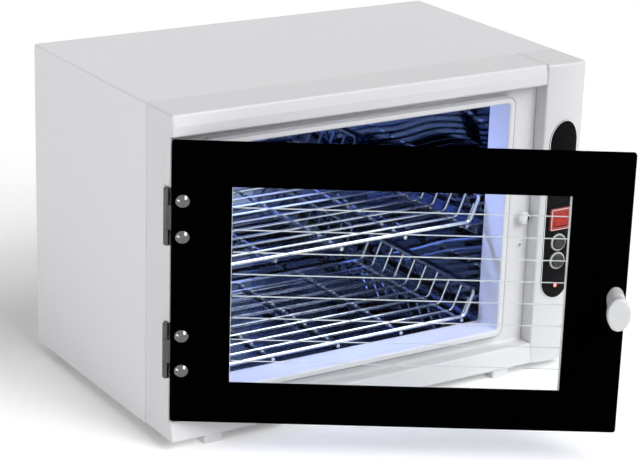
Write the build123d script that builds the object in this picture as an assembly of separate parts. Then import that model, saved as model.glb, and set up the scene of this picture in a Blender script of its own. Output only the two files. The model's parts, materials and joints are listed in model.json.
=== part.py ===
from build123d import *
import os
from math import atan, cos, pi, radians, sin, tan

# All lengths are in millimetres. +X is the cabinet's right, -Y its front, +Z up.
# The origin is on the bench, under the middle of the space taken with the door part open.

# Case of folded sheet steel
CASE_W = 365.0
CASE_D = 228.0
CASE_H = 248.0
STEEL = 1.0
EDGE_R = 2.0
RIM_R = 1.8
CASE_FLANGE = 12.0
PANEL_T = 1.2
BASE_T = 1.0
JOINT_GAP = 0.3
SEAT_GAP = 0.2

# Feet
FOOT_H = 7.0
FRONT_FOOT_W = 16.0
FRONT_FOOT_L = 24.0
FRONT_FOOT_INSET = 28.0
FRONT_FOOT_SETBACK = 2.0
REAR_FOOT_D = 19.0
REAR_FOOT_TAPER = 2.0
REAR_FOOT_EDGE = 1.0
REAR_FOOT_INSET = 15.5
REAR_FOOT_SETBACK = 34.0
FOOT_RIVET_D = 4.0
FOOT_RIVET_HEAD = 7.0
FOOT_RIVET_HEAD_T = 1.6

# Front moulding: visor, chin, recess for the door and collar round the opening
BEZEL_DEPTH = 40.0
BEZEL_WALL = 2.5
RECESS_DEPTH = 12.5
VISOR_H = 16.5
VISOR_CREASE = 8.5
VISOR_LEAN = 1.6
CHIN_H = 17.0
CHIN_REACH = 2.5
NOOK_R = 2.6
SPIGOT_L = 8.0
SPIGOT_T = 2.0
OPEN_INSET_LEFT = 32.2
OPEN_INSET_RIGHT = 29.8
OPEN_INSET_TOP = 12.3
OPEN_INSET_BOTTOM = 14.5
OPEN_R = 2.5
COLLAR_H = 6.5
COLLAR_T = 6.2
COLLAR_R = 8.5
COLLAR_EDGE = 1.8
TUNNEL_DEPTH = 32.0

# Control column at the right
COLUMN_W = 37.0
COLUMN_BULGE = 3.0
COLUMN_WALL = 2.4
OVERLAY_W = 27.0
OVERLAY_T = 0.5
OVERLAY_BOTTOM = 54.2
OVERLAY_TOP = 202.6
OVERLAY_CROWN = 19.0
ROCKER_W = 12.8
ROCKER_H = 10.8
ROCKER_Z = 121.3
ROCKER_TILT = 8.0
ROCKER_PIVOT = 1.5
ROCKER_PIVOT_D = 1.6
ROCKER_STAND = 0.8
ROCKER_DEPTH = 17.0
ROCKER_FRAME_RIM = 1.7
ROCKER_FRAME_T = 1.4
ROCKER_FRAME_R = 1.6
ROCKER_FRAME_EDGE = 0.5
ROCKER_EDGE_R = 0.8
ROCKER_WALL = 1.2
ROCKER_CLEAR = 0.35
PANEL_CLEAR = 0.15
BUTTON_D = 11.4
BUTTON_Z = {"lower": 86.3, "upper": 101.7}
BUTTON_STAND = 1.8
BUTTON_EDGE = 0.7
BUTTON_TRAVEL = 1.2
BUTTON_CLEAR = 0.25
BUTTON_RING = 1.0
BUTTON_RING_T = 0.9
BUTTON_SLEEVE = 5.0
LAMP_LENS_D = 3.0
LAMP_LENS_STAND = 0.9
LAMP_LENS_CROWN = 0.8
LAMP_LENS_Z = 65.1
BOARD_T = 1.6
BOARD_W = 28.0
BOARD_BOTTOM = 60.2
BOARD_TOP = 112.2
BOARD_STANDOFF = 9.0
BOARD_POST_D = 5.0
TACT_W = 6.0
RELAY_W = 14.0
RELAY_H = 18.0
RELAY_D = 10.0
STEM_D = 3.6

# Glass door and its hinges
GLASS_T = 4.0
GLASS_R = 2.0
GLASS_ARRIS = 0.8
PRINT_T = 0.2
PRINT_INSET = 0.4
DOOR_GAP_TOP = 0.6
DOOR_GAP_BOTTOM = 1.0
DOOR_GAP_RIGHT = 0.8
WINDOW_SIDE = 42.7
WINDOW_TOP = 33.1
WINDOW_BOTTOM = 30.85
DOOR_OPEN = 31.8
PIN_INSET = -1.0
PIN_TO_GLASS = 3.4
BARREL_R = 2.7
PIN_R = 1.3
PIN_FIT = 0.06
LEAF_T = 1.2
LEAF_W = 17.0
LEAF_R = 2.0
BARREL_CLEAR = 0.4
PIN_CAP_TAPER = 35.0
PAD_RIM = 1.0
PAD_R = 1.5
HINGE_H = 41.0
KNUCKLE_MID = 18.0
KNUCKLE_GAP = 0.25
HINGE_SPREAD = 51.0
HINGE_DROP = 2.3
HINGE_BACK = 6.9
SCREW_SPREAD = 13.4
SCREW_FROM_EDGE = 8.1
SCREW_D = 4.0
SCREW_HEAD_D = 10.2
SCREW_HEAD_H = 3.0
SCREW_HEAD_EDGE = 0.6
SCREW_SLOT_L = 5.2
SCREW_SLOT_W = 1.2
SCREW_SLOT_DEPTH = 0.9
SCREW_CLEAR = 0.3
NUT_AF = 7.0
NUT_T = 2.2
WOOD_SCREW_D = 3.0
WOOD_HEAD_D = 5.6
WOOD_SCREW_L = 9.0
PAD_SCREW_SPREAD = 6.5

# Knob, its plate and the magnet that holds the door shut
KNOB_FROM_EDGE = 7.35
KNOB_UP = 2.25
KNOB_BASE_W = 13.0
KNOB_BASE_H = 18.4
KNOB_CAP_W = 16.8
KNOB_CAP_H = 24.8
KNOB_DROP = 4.4
KNOB_REACH = 22.0
KNOB_CAP_T = 6.0
KNOB_CAP_EDGE = 1.8
KNOB_TIGHT = 0.38
KNOB_FLARE = 0.86
KNOB_SCREW_D = 4.0
KNOB_SCREW_DEPTH = 12.0
KNOB_SCREW_L = 11.0
STRIKE_D = 13.0
STRIKE_T = 1.4
STRIKE_EDGE = 0.3
KNOB_SCREW_HEAD = 7.8
KNOB_SCREW_SINK = 1.26
CATCH_RIM_T = 1.0
CATCH_CUP_SETBACK = 0.6
CATCH_FLOOR_T = 1.2
MAGNET_D = 8.0
MAGNET_GAP = 0.4
CATCH_CUP_T = 1.3
CATCH_DEPTH = 9.0

# Steel chamber
CHAMBER_DEPTH = 167.5
LINER_T = 0.8
LINER_FLANGE = 7.0
SUPPORT_W = 34.0
SUPPORT_FOOT = 12.0
SUPPORT_T = 1.2
SUPPORT_L = 150.0
SUPPORT_FROM_WALL = 38.0

# Wire baskets and the rails that carry the upper one
BASKET_GAP = 1.5
BASKET_FRONT = 1.5
BASKET_BACK = 11.8
BASKET_FLARE = 9.0
BASKET_H = 21.0
BASKET_BEND_R = 4.0
BASKET_STAND = 0.3
FRAME_WIRE = 3.0
CROSS_WIRE = 2.0
RIB_WIRE = 3.0
WIRE_FLATS = 8
CROSS_COUNT = 8
RIB_COUNT = 5
RIB_INSET = 3.0
BASKET_LIFTS = {"lower": 0.0, "upper": 80.0}
RAIL_W = 17.0
RAIL_H = 9.0
RAIL_T = 1.2
RAIL_L = 140.0

# Ultraviolet lamp under the chamber's roof
TUBE_D = 15.5
HOLDER_TO_WALL = 18.0
CAP_D = 16.0
CAP_L = 8.0
PIN_LENGTH = 6.0
LAMP_PIN_D = 2.0
LAMP_PIN_PITCH = 5.0
HOLDER_T = 9.0
HOLDER_W = 20.0
LAMP_DROP = 17.0
LAMP_FROM_FRONT = 78.0
REFLECTOR_W = 66.0
REFLECTOR_FLAT = 26.0
REFLECTOR_FALL = 13.0
REFLECTOR_T = 0.6
REFLECTOR_REACH = 2.0

# Electrical pieces in the right-hand bay
BALLAST_W = 38.0
BALLAST_H = 30.0
BALLAST_FOOT = 12.0
BALLAST_FOOT_T = 1.5
BALLAST_FOOT_SHARE = 0.6
BALLAST_EDGE = 3.0
STARTER_D = 21.0
STARTER_L = 34.0
STARTER_BASE = 26.0
STARTER_BASE_H = 10.0
STARTER_BASE_R = 4.0
STARTER_EDGE = 1.5
STARTER_SEAT = 4.0
BAY_GAP = 3.0
INLET_W = 24.0
INLET_H = 14.0
INLET_FLANGE = 6.0
INLET_FLANGE_T = 2.0
INLET_R = 3.0
INLET_DEPTH = 16.0
INLET_MOUTH_W = 15.0
INLET_MOUTH_H = 8.6
INLET_PIN_D = 2.4
INLET_PIN_PITCH = 8.6
INLET_WALL = 2.0
INLET_FROM_RIGHT = 34.0
INLET_Z = 33.0

# Back panel vents and screws
VENT_COUNT = 6
VENT_W = 3.0
VENT_L = 34.0
VENT_PITCH = 13.0
VENT_FROM_RIGHT = 10.0
VENT_DROP = 44.0
SELF_TAP_D = 3.0
SELF_TAP_HEAD = 6.4
SELF_TAP_HEAD_H = 2.1
SELF_TAP_L = 7.0
SELF_TAP_INSET = 7.0

DOOR_ARM = CASE_W - COLUMN_W - DOOR_GAP_RIGHT - KNOB_FROM_EDGE + KNOB_CAP_W / 2 - PIN_INSET
KNOB_ARM = BARREL_R + PRINT_T + GLASS_T + KNOB_REACH
DOOR_REACH = sin(radians(DOOR_OPEN)) * DOOR_ARM + cos(radians(DOOR_OPEN)) * KNOB_ARM - HINGE_BACK

CHAMBER_W = CASE_W - COLUMN_W - OPEN_INSET_LEFT - OPEN_INSET_RIGHT
TUBE_L = CHAMBER_W - 2 * (HOLDER_TO_WALL + HOLDER_T + CAP_L)
BAY_L = CASE_D - BEZEL_DEPTH - SPIGOT_L - REAR_FOOT_SETBACK - FOOT_RIVET_HEAD / 2
BALLAST_L = BAY_L - 3 * BAY_GAP - STARTER_BASE - 2 * BALLAST_FOOT

LEFT = -CASE_W / 2
RIGHT = CASE_W / 2
FRONT = (DOOR_REACH - CASE_D - INLET_FLANGE_T) / 2
BACK = FRONT + CASE_D
FLOOR = FOOT_H
ROOF = FOOT_H + CASE_H
SEAM = FRONT + BEZEL_DEPTH
RECESS = FRONT + RECESS_DEPTH
CHIN_TOP = FLOOR + CHIN_H
VISOR_LOW = ROOF - VISOR_H
COLUMN_LEFT = RIGHT - COLUMN_W
OPEN_LEFT = LEFT + OPEN_INSET_LEFT
OPEN_RIGHT = COLUMN_LEFT - OPEN_INSET_RIGHT
OPEN_BOTTOM = CHIN_TOP + OPEN_INSET_BOTTOM
OPEN_TOP = VISOR_LOW - OPEN_INSET_TOP
OPEN_MID = (OPEN_LEFT + OPEN_RIGHT) / 2
TUNNEL_END = FRONT + TUNNEL_DEPTH
CHAMBER_BACK = TUNNEL_END + CHAMBER_DEPTH
BASE_TOP = FLOOR + STEEL + BASE_T
COLUMN_MID = (COLUMN_LEFT + RIGHT) / 2
COLUMN_ARC_R = (COLUMN_W**2 / 4 + COLUMN_BULGE**2) / (2 * COLUMN_BULGE)
COLUMN_ARC_Y = FRONT - COLUMN_BULGE + COLUMN_ARC_R
CREST = FRONT - COLUMN_BULGE

PIN_X = LEFT + PIN_INSET
GLASS_LEFT = PIN_X + PIN_TO_GLASS
GLASS_RIGHT = COLUMN_LEFT - DOOR_GAP_RIGHT
GLASS_LOW = CHIN_TOP + DOOR_GAP_BOTTOM
GLASS_HIGH = VISOR_LOW - DOOR_GAP_TOP
GLASS_MID = (GLASS_LOW + GLASS_HIGH) / 2
PIN_Y = FRONT + HINGE_BACK
LEAF_FACE = PIN_Y - BARREL_R
PRINT_FACE = LEAF_FACE - PRINT_T
GLASS_FACE = PRINT_FACE - GLASS_T
SEAT_FACE = PIN_Y + BARREL_R
KNOB_X = GLASS_RIGHT - KNOB_FROM_EDGE
KNOB_Z = GLASS_MID - KNOB_UP
STRIKE_FACE = LEAF_FACE + STRIKE_T


def box(x0, x1, y0, y1, z0, z1):
    return Pos((x0 + x1) / 2, (y0 + y1) / 2, (z0 + z1) / 2) * Box(x1 - x0, y1 - y0, z1 - z0)


def rect(a0, a1, b0, b1):
    return Pos((a0 + a1) / 2, (b0 + b1) / 2) * Rectangle(a1 - a0, b1 - b0)


def run_back(outline, y0, y1):
    """Pushes an outline drawn in X and Z from depth y0 to depth y1."""
    plane = Plane(origin=(0, y0, 0), x_dir=(1, 0, 0), z_dir=(0, -1, 0))
    return extrude(plane * outline, amount=-(y1 - y0))


def run_right(outline, x0, x1):
    """Pushes an outline drawn in Y and Z from x0 to x1."""
    plane = Plane(origin=(x0, 0, 0), x_dir=(0, 1, 0), z_dir=(1, 0, 0))
    return extrude(plane * outline, amount=x1 - x0)


def run_up(outline, z0, z1):
    """Pushes an outline drawn in X and Y from z0 to z1."""
    return extrude(Plane.XY.offset(z0) * outline, amount=z1 - z0)


def rod_y(x, z, radius, y0, y1):
    return run_back(Pos(x, z) * Circle(radius), y0, y1)


def opened(piece):
    """Swings a piece of the closed door about the hinge pin to where the door rests."""
    return Pos(PIN_X, PIN_Y, 0) * Rot(0, 0, -DOOR_OPEN) * Pos(-PIN_X, -PIN_Y, 0) * piece


def corners_at(sketch, wanted):
    return [v for v in sketch.vertices() if any(abs(v.X - a) + abs(v.Y - b) < 0.01 for a, b in wanted)]


# Places shared by holes and the screws in them
def panel_screw_places():
    x = RIGHT - SELF_TAP_INSET
    middle = (FLOOR + ROOF) / 2
    low = BASE_TOP + SELF_TAP_INSET
    high = ROOF - SELF_TAP_INSET
    return [(side * x, z) for side in (-1, 1) for z in (low, middle, high)]


def base_screw_places():
    x = RIGHT - SELF_TAP_INSET
    near = SEAM + 3 * SELF_TAP_INSET
    far = BACK - 2 * SELF_TAP_INSET
    return [(side * x, y) for side in (-1, 1) for y in (near, far)]


def rear_foot_places():
    y = BACK - REAR_FOOT_SETBACK
    x = RIGHT - REAR_FOOT_INSET
    return {"left": (-x, y), "right": (x, y)}


def hinge_heights():
    middle = GLASS_MID - HINGE_DROP
    return {"upper": middle + HINGE_SPREAD, "lower": middle - HINGE_SPREAD}


def screw_places(spread):
    """Two places on each hinge, spread above and below its middle."""
    x = GLASS_LEFT + SCREW_FROM_EDGE
    return [(x, z + side * spread) for z in hinge_heights().values() for side in (1, -1)]


# Case: one sheet folded over the top and sides, with flanges turned in below and behind
def case_shell():
    outer = rect(LEFT, RIGHT, FLOOR, ROOF)
    outer = fillet(corners_at(outer, [(LEFT, ROOF), (RIGHT, ROOF)]), EDGE_R)
    inner = rect(LEFT + STEEL, RIGHT - STEEL, FLOOR + STEEL, ROOF - STEEL)
    slot = rect(LEFT + CASE_FLANGE, RIGHT - CASE_FLANGE, FLOOR - STEEL, FLOOR + 2 * STEEL)
    flange_y = BACK - PANEL_T
    wrap = run_back(outer - inner - slot, SEAM + JOINT_GAP, BACK)
    lip = rect(LEFT + STEEL, RIGHT - STEEL, BASE_TOP, ROOF - STEEL)
    lip -= rect(LEFT + CASE_FLANGE, RIGHT - CASE_FLANGE, BASE_TOP - STEEL, ROOF - CASE_FLANGE)
    wrap += run_back(lip, flange_y - STEEL, flange_y)
    hole = SELF_TAP_D / 2 + PIN_FIT
    for x, z in panel_screw_places():
        wrap -= rod_y(x, z, hole, flange_y - 2 * STEEL, BACK + STEEL)
    for x, y in base_screw_places():
        wrap -= run_up(Pos(x, y) * Circle(hole), FLOOR - STEEL, FLOOR + 2 * STEEL)
    for x, y in rear_foot_places().values():
        notch = Pos(x, y) * Circle(FOOT_RIVET_D / 2 + SCREW_CLEAR)
        wrap -= run_up(notch, FLOOR - STEEL, FLOOR + 2 * STEEL)
    return wrap


# Base: a flat sheet that lies on the case's lower flanges
def base_plate():
    outline = rect(LEFT + STEEL, RIGHT - STEEL, SEAM + JOINT_GAP, BACK - PANEL_T)
    for x, y in base_screw_places():
        outline -= Pos(x, y) * Circle(SELF_TAP_D / 2 + PIN_FIT)
    for x, y in rear_foot_places().values():
        outline -= Pos(x, y) * Circle(FOOT_RIVET_D / 2 + PIN_FIT)
    for n in range(VENT_COUNT):
        y = BACK - REAR_FOOT_SETBACK - (n + 1) * VENT_PITCH
        outline -= Pos(RIGHT - VENT_L, y) * SlotOverall(VENT_L, VENT_W)
    return run_up(outline, FLOOR + STEEL, BASE_TOP)


# Back panel, with a vent field behind the electrical bay and the mains inlet below it
def back_panel():
    x_in = RIGHT - STEEL - SEAT_GAP
    outline = rect(-x_in, x_in, FLOOR + STEEL, ROOF - STEEL - SEAT_GAP)
    for n in range(VENT_COUNT):
        z = ROOF - VENT_DROP - n * VENT_PITCH
        x = RIGHT - VENT_FROM_RIGHT - VENT_L / 2 - CASE_FLANGE / 2
        outline -= Pos(x, z) * SlotOverall(VENT_L, VENT_W)
    hole = rect(
        inlet_x() - INLET_W / 2 - PANEL_CLEAR,
        inlet_x() + INLET_W / 2 + PANEL_CLEAR,
        FLOOR + INLET_Z - INLET_H / 2 - PANEL_CLEAR,
        FLOOR + INLET_Z + INLET_H / 2 + PANEL_CLEAR,
    )
    outline -= hole
    for x, z in panel_screw_places():
        outline -= Pos(x, z) * Circle(SELF_TAP_D / 2 + SCREW_CLEAR)
    return run_back(outline, BACK - PANEL_T, BACK)


def dome(radius, height, edge):
    """A screw head standing on z = 0: a thin cylinder under part of a ball."""
    rise = height - edge
    ball_r = (radius**2 + rise**2) / (2 * rise)
    ball = Pos(0, 0, height - ball_r) * Sphere(ball_r)
    return Pos(0, 0, height / 2) * Cylinder(radius, height) & ball


# Self-tapping screw with a low pan head, its axis along +Z and its head's seat at z = 0
def self_tap():
    shank = SELF_TAP_D / 2
    head = SELF_TAP_HEAD / 2
    top = SELF_TAP_HEAD_H
    points = [(0, top), (head - top / 2, top), (head, 0), (shank, 0), (shank, -SELF_TAP_L), (0, -SELF_TAP_L)]
    return revolve(Plane.XZ * make_face(Polyline(*points, close=True)), Axis.Z)


def panel_screws():
    screw = Rot(-90, 0, 0) * self_tap()
    return Compound([Pos(x, BACK, z) * screw for x, z in panel_screw_places()])


def base_screws():
    screw = Rot(180, 0, 0) * self_tap()
    return Compound([Pos(x, y, FLOOR) * screw for x, y in base_screw_places()])


# Rear feet: turned rubber, wider where they meet the case, each with a screw up through it
def rear_foot(x, y):
    top = REAR_FOOT_D / 2
    low = top - REAR_FOOT_TAPER
    bore = FOOT_RIVET_D / 2
    edge = REAR_FOOT_EDGE
    points = [(bore, 0), (low - edge, 0), (low, edge), (top, FLOOR), (bore, FLOOR)]
    outline = make_face(Polyline(*points, close=True))
    return Pos(x, y, 0) * revolve(Plane.XZ * outline, Axis.Z)


def foot_rivets():
    stem = run_up(Circle(FOOT_RIVET_D / 2), REAR_FOOT_EDGE, BASE_TOP)
    head = run_up(Circle(FOOT_RIVET_HEAD / 2), BASE_TOP, BASE_TOP + FOOT_RIVET_HEAD_T)
    return Compound([Pos(x, y, 0) * (stem + head) for x, y in rear_foot_places().values()])


# Front moulding
def bezel_outline():
    chin_face = FRONT - CHIN_REACH
    points = [
        (SEAM, FLOOR),
        (chin_face, FLOOR),
        (FRONT, CHIN_TOP),
        (RECESS, CHIN_TOP),
        (RECESS, VISOR_LOW),
        (FRONT, VISOR_LOW),
        (FRONT, ROOF - VISOR_CREASE),
        (FRONT + VISOR_LEAN, ROOF),
        (SEAM, ROOF),
    ]
    outline = make_face(Polyline(*points, close=True))
    outline = fillet(corners_at(outline, [points[3], points[4]]), NOOK_R)
    soft = [points[1], points[2], points[5], points[7]]
    return fillet(corners_at(outline, soft), EDGE_R)


def opening_outline(grow, radius):
    return Pos(OPEN_MID, (OPEN_BOTTOM + OPEN_TOP) / 2) * RectangleRounded(
        OPEN_RIGHT - OPEN_LEFT + 2 * grow, OPEN_TOP - OPEN_BOTTOM + 2 * grow, radius
    )


def bezel_hollows(x0, x1):
    wall = BEZEL_WALL
    far = SEAM + STEEL
    deep = box(x0, x1, RECESS + wall, far, FLOOR + wall, ROOF - wall)
    visor = box(x0, x1, FRONT + VISOR_LEAN + wall, far, VISOR_LOW + wall, ROOF - wall)
    chin = box(x0, x1, FRONT + wall, far, FLOOR + wall, CHIN_TOP - wall)
    return deep + visor + chin


def front_foot(x_mid):
    y0 = FRONT - CHIN_REACH + FRONT_FOOT_SETBACK
    outline = rect(x_mid - FRONT_FOOT_W / 2, x_mid + FRONT_FOOT_W / 2, y0, y0 + FRONT_FOOT_L)
    outline = fillet(outline.vertices(), EDGE_R)
    return extrude(Plane.XY.offset(FLOOR + BEZEL_WALL / 2) * outline, amount=-FLOOR - BEZEL_WALL / 2, taper=2)


def spigot():
    gap = STEEL + SEAT_GAP
    low = BASE_TOP + SEAT_GAP
    right = COLUMN_LEFT - JOINT_GAP
    ring = rect(LEFT + gap, right, low, ROOF - gap)
    ring -= rect(LEFT + gap + SPIGOT_T, right + 1, low - 1, ROOF - gap - SPIGOT_T)
    return run_back(ring, SEAM - SPIGOT_T, SEAM + SPIGOT_L)


def hinge_pad(z_mid):
    half = HINGE_H / 2 + PAD_RIM
    pad = rect(LEFT + EDGE_R, PIN_X + LEAF_W + PAD_RIM, z_mid - half, z_mid + half)
    pad = fillet(pad.vertices(), PAD_R)
    return run_back(pad, SEAT_FACE, RECESS + BEZEL_WALL / 2)


def front_bezel():
    right = COLUMN_LEFT - JOINT_GAP
    body = run_right(bezel_outline(), LEFT, right)
    rim = [e for e in body.edges().group_by(Axis.X)[0] if abs(e.center().Y - SEAM) > 0.01]
    body = fillet([e for e in rim if abs(e.center().Z - FLOOR) > 0.01], RIM_R)
    body -= bezel_hollows(LEFT + BEZEL_WALL, right - BEZEL_WALL)
    body += run_back(opening_outline(BEZEL_WALL, OPEN_R + BEZEL_WALL), RECESS + BEZEL_WALL / 2, TUNNEL_END)
    collar = run_back(opening_outline(COLLAR_T, COLLAR_R), RECESS - COLLAR_H, RECESS + BEZEL_WALL / 2)
    collar -= run_back(opening_outline(0, OPEN_R), RECESS - COLLAR_H - 1, RECESS + BEZEL_WALL)
    collar = fillet(collar.edges().group_by(Axis.Y)[0], COLLAR_EDGE)
    body += collar
    body -= run_back(opening_outline(0, OPEN_R), RECESS - COLLAR_H - 1, SEAM + SPIGOT_L)
    body += spigot()
    for x_mid in (LEFT + FRONT_FOOT_INSET + FRONT_FOOT_W / 2, right - FRONT_FOOT_INSET):
        body += front_foot(x_mid)
    for z_mid in hinge_heights().values():
        body += hinge_pad(z_mid)
    for x, z in screw_places(PAD_SCREW_SPREAD):
        body -= rod_y(x, z, WOOD_SCREW_D / 2 + PIN_FIT, SEAT_FACE - 1, RECESS + 2 * BEZEL_WALL)
    body -= rod_y(KNOB_X, KNOB_Z, MAGNET_D / 2 + CATCH_CUP_T, RECESS - 1, RECESS + 2 * BEZEL_WALL)
    return body


# Control column: a tall cover with a bowed front, holes for the switch, buttons and lamp
def column_outline():
    a = (COLUMN_LEFT, FRONT)
    b = (COLUMN_MID, CREST)
    c = (RIGHT, FRONT)
    return make_face(ThreePointArc(a, b, c) + Polyline(c, (RIGHT, SEAM), (COLUMN_LEFT, SEAM), a))


def bowed_front(stand):
    """Everything behind the column's bowed front when that is set forward by stand."""
    radius = COLUMN_ARC_R + stand
    half = COLUMN_W / 2
    disc = Pos(COLUMN_MID, COLUMN_ARC_Y) * Circle(radius)
    strip = rect(COLUMN_MID - half, COLUMN_MID + half, CREST - 2 * COLUMN_BULGE, SEAM)
    return disc & strip


def overlay_outline():
    half = OVERLAY_W / 2
    low = FLOOR + OVERLAY_BOTTOM
    high = FLOOR + OVERLAY_TOP
    straight = rect(COLUMN_MID - half, COLUMN_MID + half, low + half, high - OVERLAY_CROWN)
    foot = Pos(COLUMN_MID, low + half) * Circle(half)
    crown = Pos(COLUMN_MID, high - OVERLAY_CROWN) * Ellipse(half, OVERLAY_CROWN)
    return straight + foot + crown


def rocker_hole():
    tilt = radians(ROCKER_TILT)
    swing = cos(tilt) * ROCKER_H / 2 + sin(tilt) * (ROCKER_PIVOT + OVERLAY_T + ROCKER_FRAME_T)
    half_w = ROCKER_W / 2 + ROCKER_CLEAR + ROCKER_WALL
    half_h = swing + ROCKER_CLEAR + ROCKER_WALL
    z = FLOOR + ROCKER_Z
    return half_w, half_h, z


def control_holes(extra):
    """Holes through the column and its plate, larger by extra than what passes through."""
    half_w, half_h, z = rocker_hole()
    y0 = CREST - 2 * COLUMN_BULGE
    y1 = FRONT + 2 * COLUMN_WALL
    x = half_w + extra
    cut = box(COLUMN_MID - x, COLUMN_MID + x, y0, y1, z - half_h - extra, z + half_h + extra)
    ring_hole = BUTTON_D / 2 + BUTTON_CLEAR + BUTTON_RING + extra
    for height in BUTTON_Z.values():
        cut += rod_y(COLUMN_MID, FLOOR + height, ring_hole, y0, y1)
    cut += rod_y(COLUMN_MID, FLOOR + LAMP_LENS_Z, LAMP_LENS_D / 2 + extra, y0, y1)
    return cut


def board_post_places():
    x = BOARD_W / 2 - BOARD_POST_D / 2
    z0 = FLOOR + BOARD_BOTTOM + BOARD_POST_D / 2
    z1 = FLOOR + BOARD_TOP - BOARD_POST_D / 2
    return [(COLUMN_MID + side * x, z) for side in (-1, 1) for z in (z0, z1)]


def control_column():
    body = run_up(column_outline(), FLOOR, ROOF)
    uprights = body.edges().filter_by(Axis.Z).filter_by(lambda e: e.center().Y < SEAM - 1)
    body = fillet(uprights, EDGE_R)
    top_rim = body.edges().group_by(Axis.Z)[-1].filter_by(lambda e: e.center().Y < SEAM - 1)
    body = fillet(top_rim, RIM_R)
    wall = COLUMN_WALL
    hollow = bowed_front(-wall) & rect(COLUMN_LEFT + wall, RIGHT - wall, CREST, SEAM)
    body -= run_up(hollow, FLOOR + wall, ROOF - wall)
    body -= box(COLUMN_LEFT + wall, RIGHT - wall, SEAM - wall, SEAM + 1, FLOOR + wall, ROOF - wall)
    gap = STEEL + SEAT_GAP
    tongue = rect(COLUMN_LEFT + wall, RIGHT - gap, BASE_TOP + SEAT_GAP, ROOF - gap)
    tongue -= rect(COLUMN_LEFT, RIGHT - gap - SPIGOT_T, BASE_TOP - 1, ROOF - gap - SPIGOT_T)
    body += run_back(tongue, SEAM - SPIGOT_T, SEAM + SPIGOT_L)
    inner = CREST + wall / 2
    for x, z in board_post_places():
        body += rod_y(x, z, BOARD_POST_D / 2, inner + COLUMN_BULGE / 2, CREST + wall + BOARD_STANDOFF)
    return body - control_holes(PANEL_CLEAR)


def control_overlay():
    sheet = run_up(bowed_front(OVERLAY_T) - bowed_front(0), FLOOR, ROOF)
    sheet &= run_back(overlay_outline(), CREST - 2 * COLUMN_BULGE, FRONT + COLUMN_BULGE)
    return sheet - control_holes(PANEL_CLEAR)


# Switch frame: a rim seated on the plate and a sleeve through the column's wall
def rocker_frame():
    half_w, half_h, z = rocker_hole()
    rim_w = half_w + ROCKER_FRAME_RIM
    rim_h = half_h + ROCKER_FRAME_RIM
    face = CREST - OVERLAY_T - ROCKER_FRAME_T
    rim = run_back(Pos(COLUMN_MID, z) * RectangleRounded(2 * rim_w, 2 * rim_h, ROCKER_FRAME_R), face, FRONT)
    rim -= run_up(bowed_front(OVERLAY_T), FLOOR, ROOF)
    rim = chamfer(rim.edges().group_by(Axis.Y)[0], ROCKER_FRAME_EDGE)
    sleeve_face = face + ROCKER_FRAME_EDGE
    sleeve_end = CREST + ROCKER_DEPTH
    sleeve = box(COLUMN_MID - half_w, COLUMN_MID + half_w, sleeve_face, sleeve_end, z - half_h, z + half_h)
    well = box(
        COLUMN_MID - half_w + ROCKER_WALL,
        COLUMN_MID + half_w - ROCKER_WALL,
        face - 1,
        sleeve_end - ROCKER_WALL,
        z - half_h + ROCKER_WALL,
        z + half_h - ROCKER_WALL,
    )
    return rim + sleeve - well


# Rocker: two faces that meet over the pivot, narrow behind so that it turns in its well
def rocker_switch():
    pivot_y = CREST + ROCKER_PIVOT
    z = FLOOR + ROCKER_Z
    face = CREST - OVERLAY_T - ROCKER_FRAME_T - ROCKER_STAND
    half = ROCKER_H / 2
    rise = half * sin(radians(ROCKER_TILT))
    rear = pivot_y + half
    points = [
        (face, -half),
        (face + rise, 0),
        (face, half),
        (pivot_y, half),
        (rear, half / 3),
        (rear, -half / 3),
        (pivot_y, -half),
    ]
    outline = make_face(Polyline(*points, close=True))
    outline = fillet(corners_at(outline, [points[0], points[2], points[3], points[6]]), ROCKER_EDGE_R)
    outline -= Pos(pivot_y, 0) * Circle(ROCKER_PIVOT_D / 2)
    turned = Pos(pivot_y, z) * Rot(0, 0, -ROCKER_TILT) * Pos(-pivot_y, 0) * outline
    return run_right(turned, COLUMN_MID - ROCKER_W / 2, COLUMN_MID + ROCKER_W / 2)


def rocker_pivot():
    half_w = rocker_hole()[0] - ROCKER_WALL
    pin = Pos(CREST + ROCKER_PIVOT, FLOOR + ROCKER_Z) * Circle(ROCKER_PIVOT_D / 2 - PIN_FIT)
    return run_right(pin, COLUMN_MID - half_w, COLUMN_MID + half_w)


# Round push-buttons in sleeves that stand a little proud of the plate
def button_ring(height):
    face = CREST - OVERLAY_T - BUTTON_RING_T
    rear = CREST + BUTTON_SLEEVE
    bore = BUTTON_D / 2 + BUTTON_CLEAR
    ring = rod_y(COLUMN_MID, FLOOR + height, bore + BUTTON_RING, face, rear)
    return ring - rod_y(COLUMN_MID, FLOOR + height, bore, face - 1, rear + 1)


def push_button(height):
    face = CREST - OVERLAY_T - BUTTON_RING_T - BUTTON_STAND
    rear = CREST + COLUMN_WALL + BOARD_STANDOFF - TACT_W / 2 - BUTTON_TRAVEL - SEAT_GAP
    crown = rod_y(COLUMN_MID, FLOOR + height, BUTTON_D / 2, face, CREST + BUTTON_SLEEVE / 2)
    crown = chamfer(crown.edges().group_by(Axis.Y)[0], BUTTON_EDGE)
    return crown + rod_y(COLUMN_MID, FLOOR + height, STEM_D / 2, CREST, rear)


def power_lamp():
    z = FLOOR + LAMP_LENS_Z
    radius = LAMP_LENS_D / 2
    face = CREST - OVERLAY_T - LAMP_LENS_STAND
    lens = rod_y(COLUMN_MID, z, radius, face, CREST + COLUMN_WALL + BOARD_STANDOFF)
    return fillet(lens.edges().group_by(Axis.Y)[0], radius * LAMP_LENS_CROWN)


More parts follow.
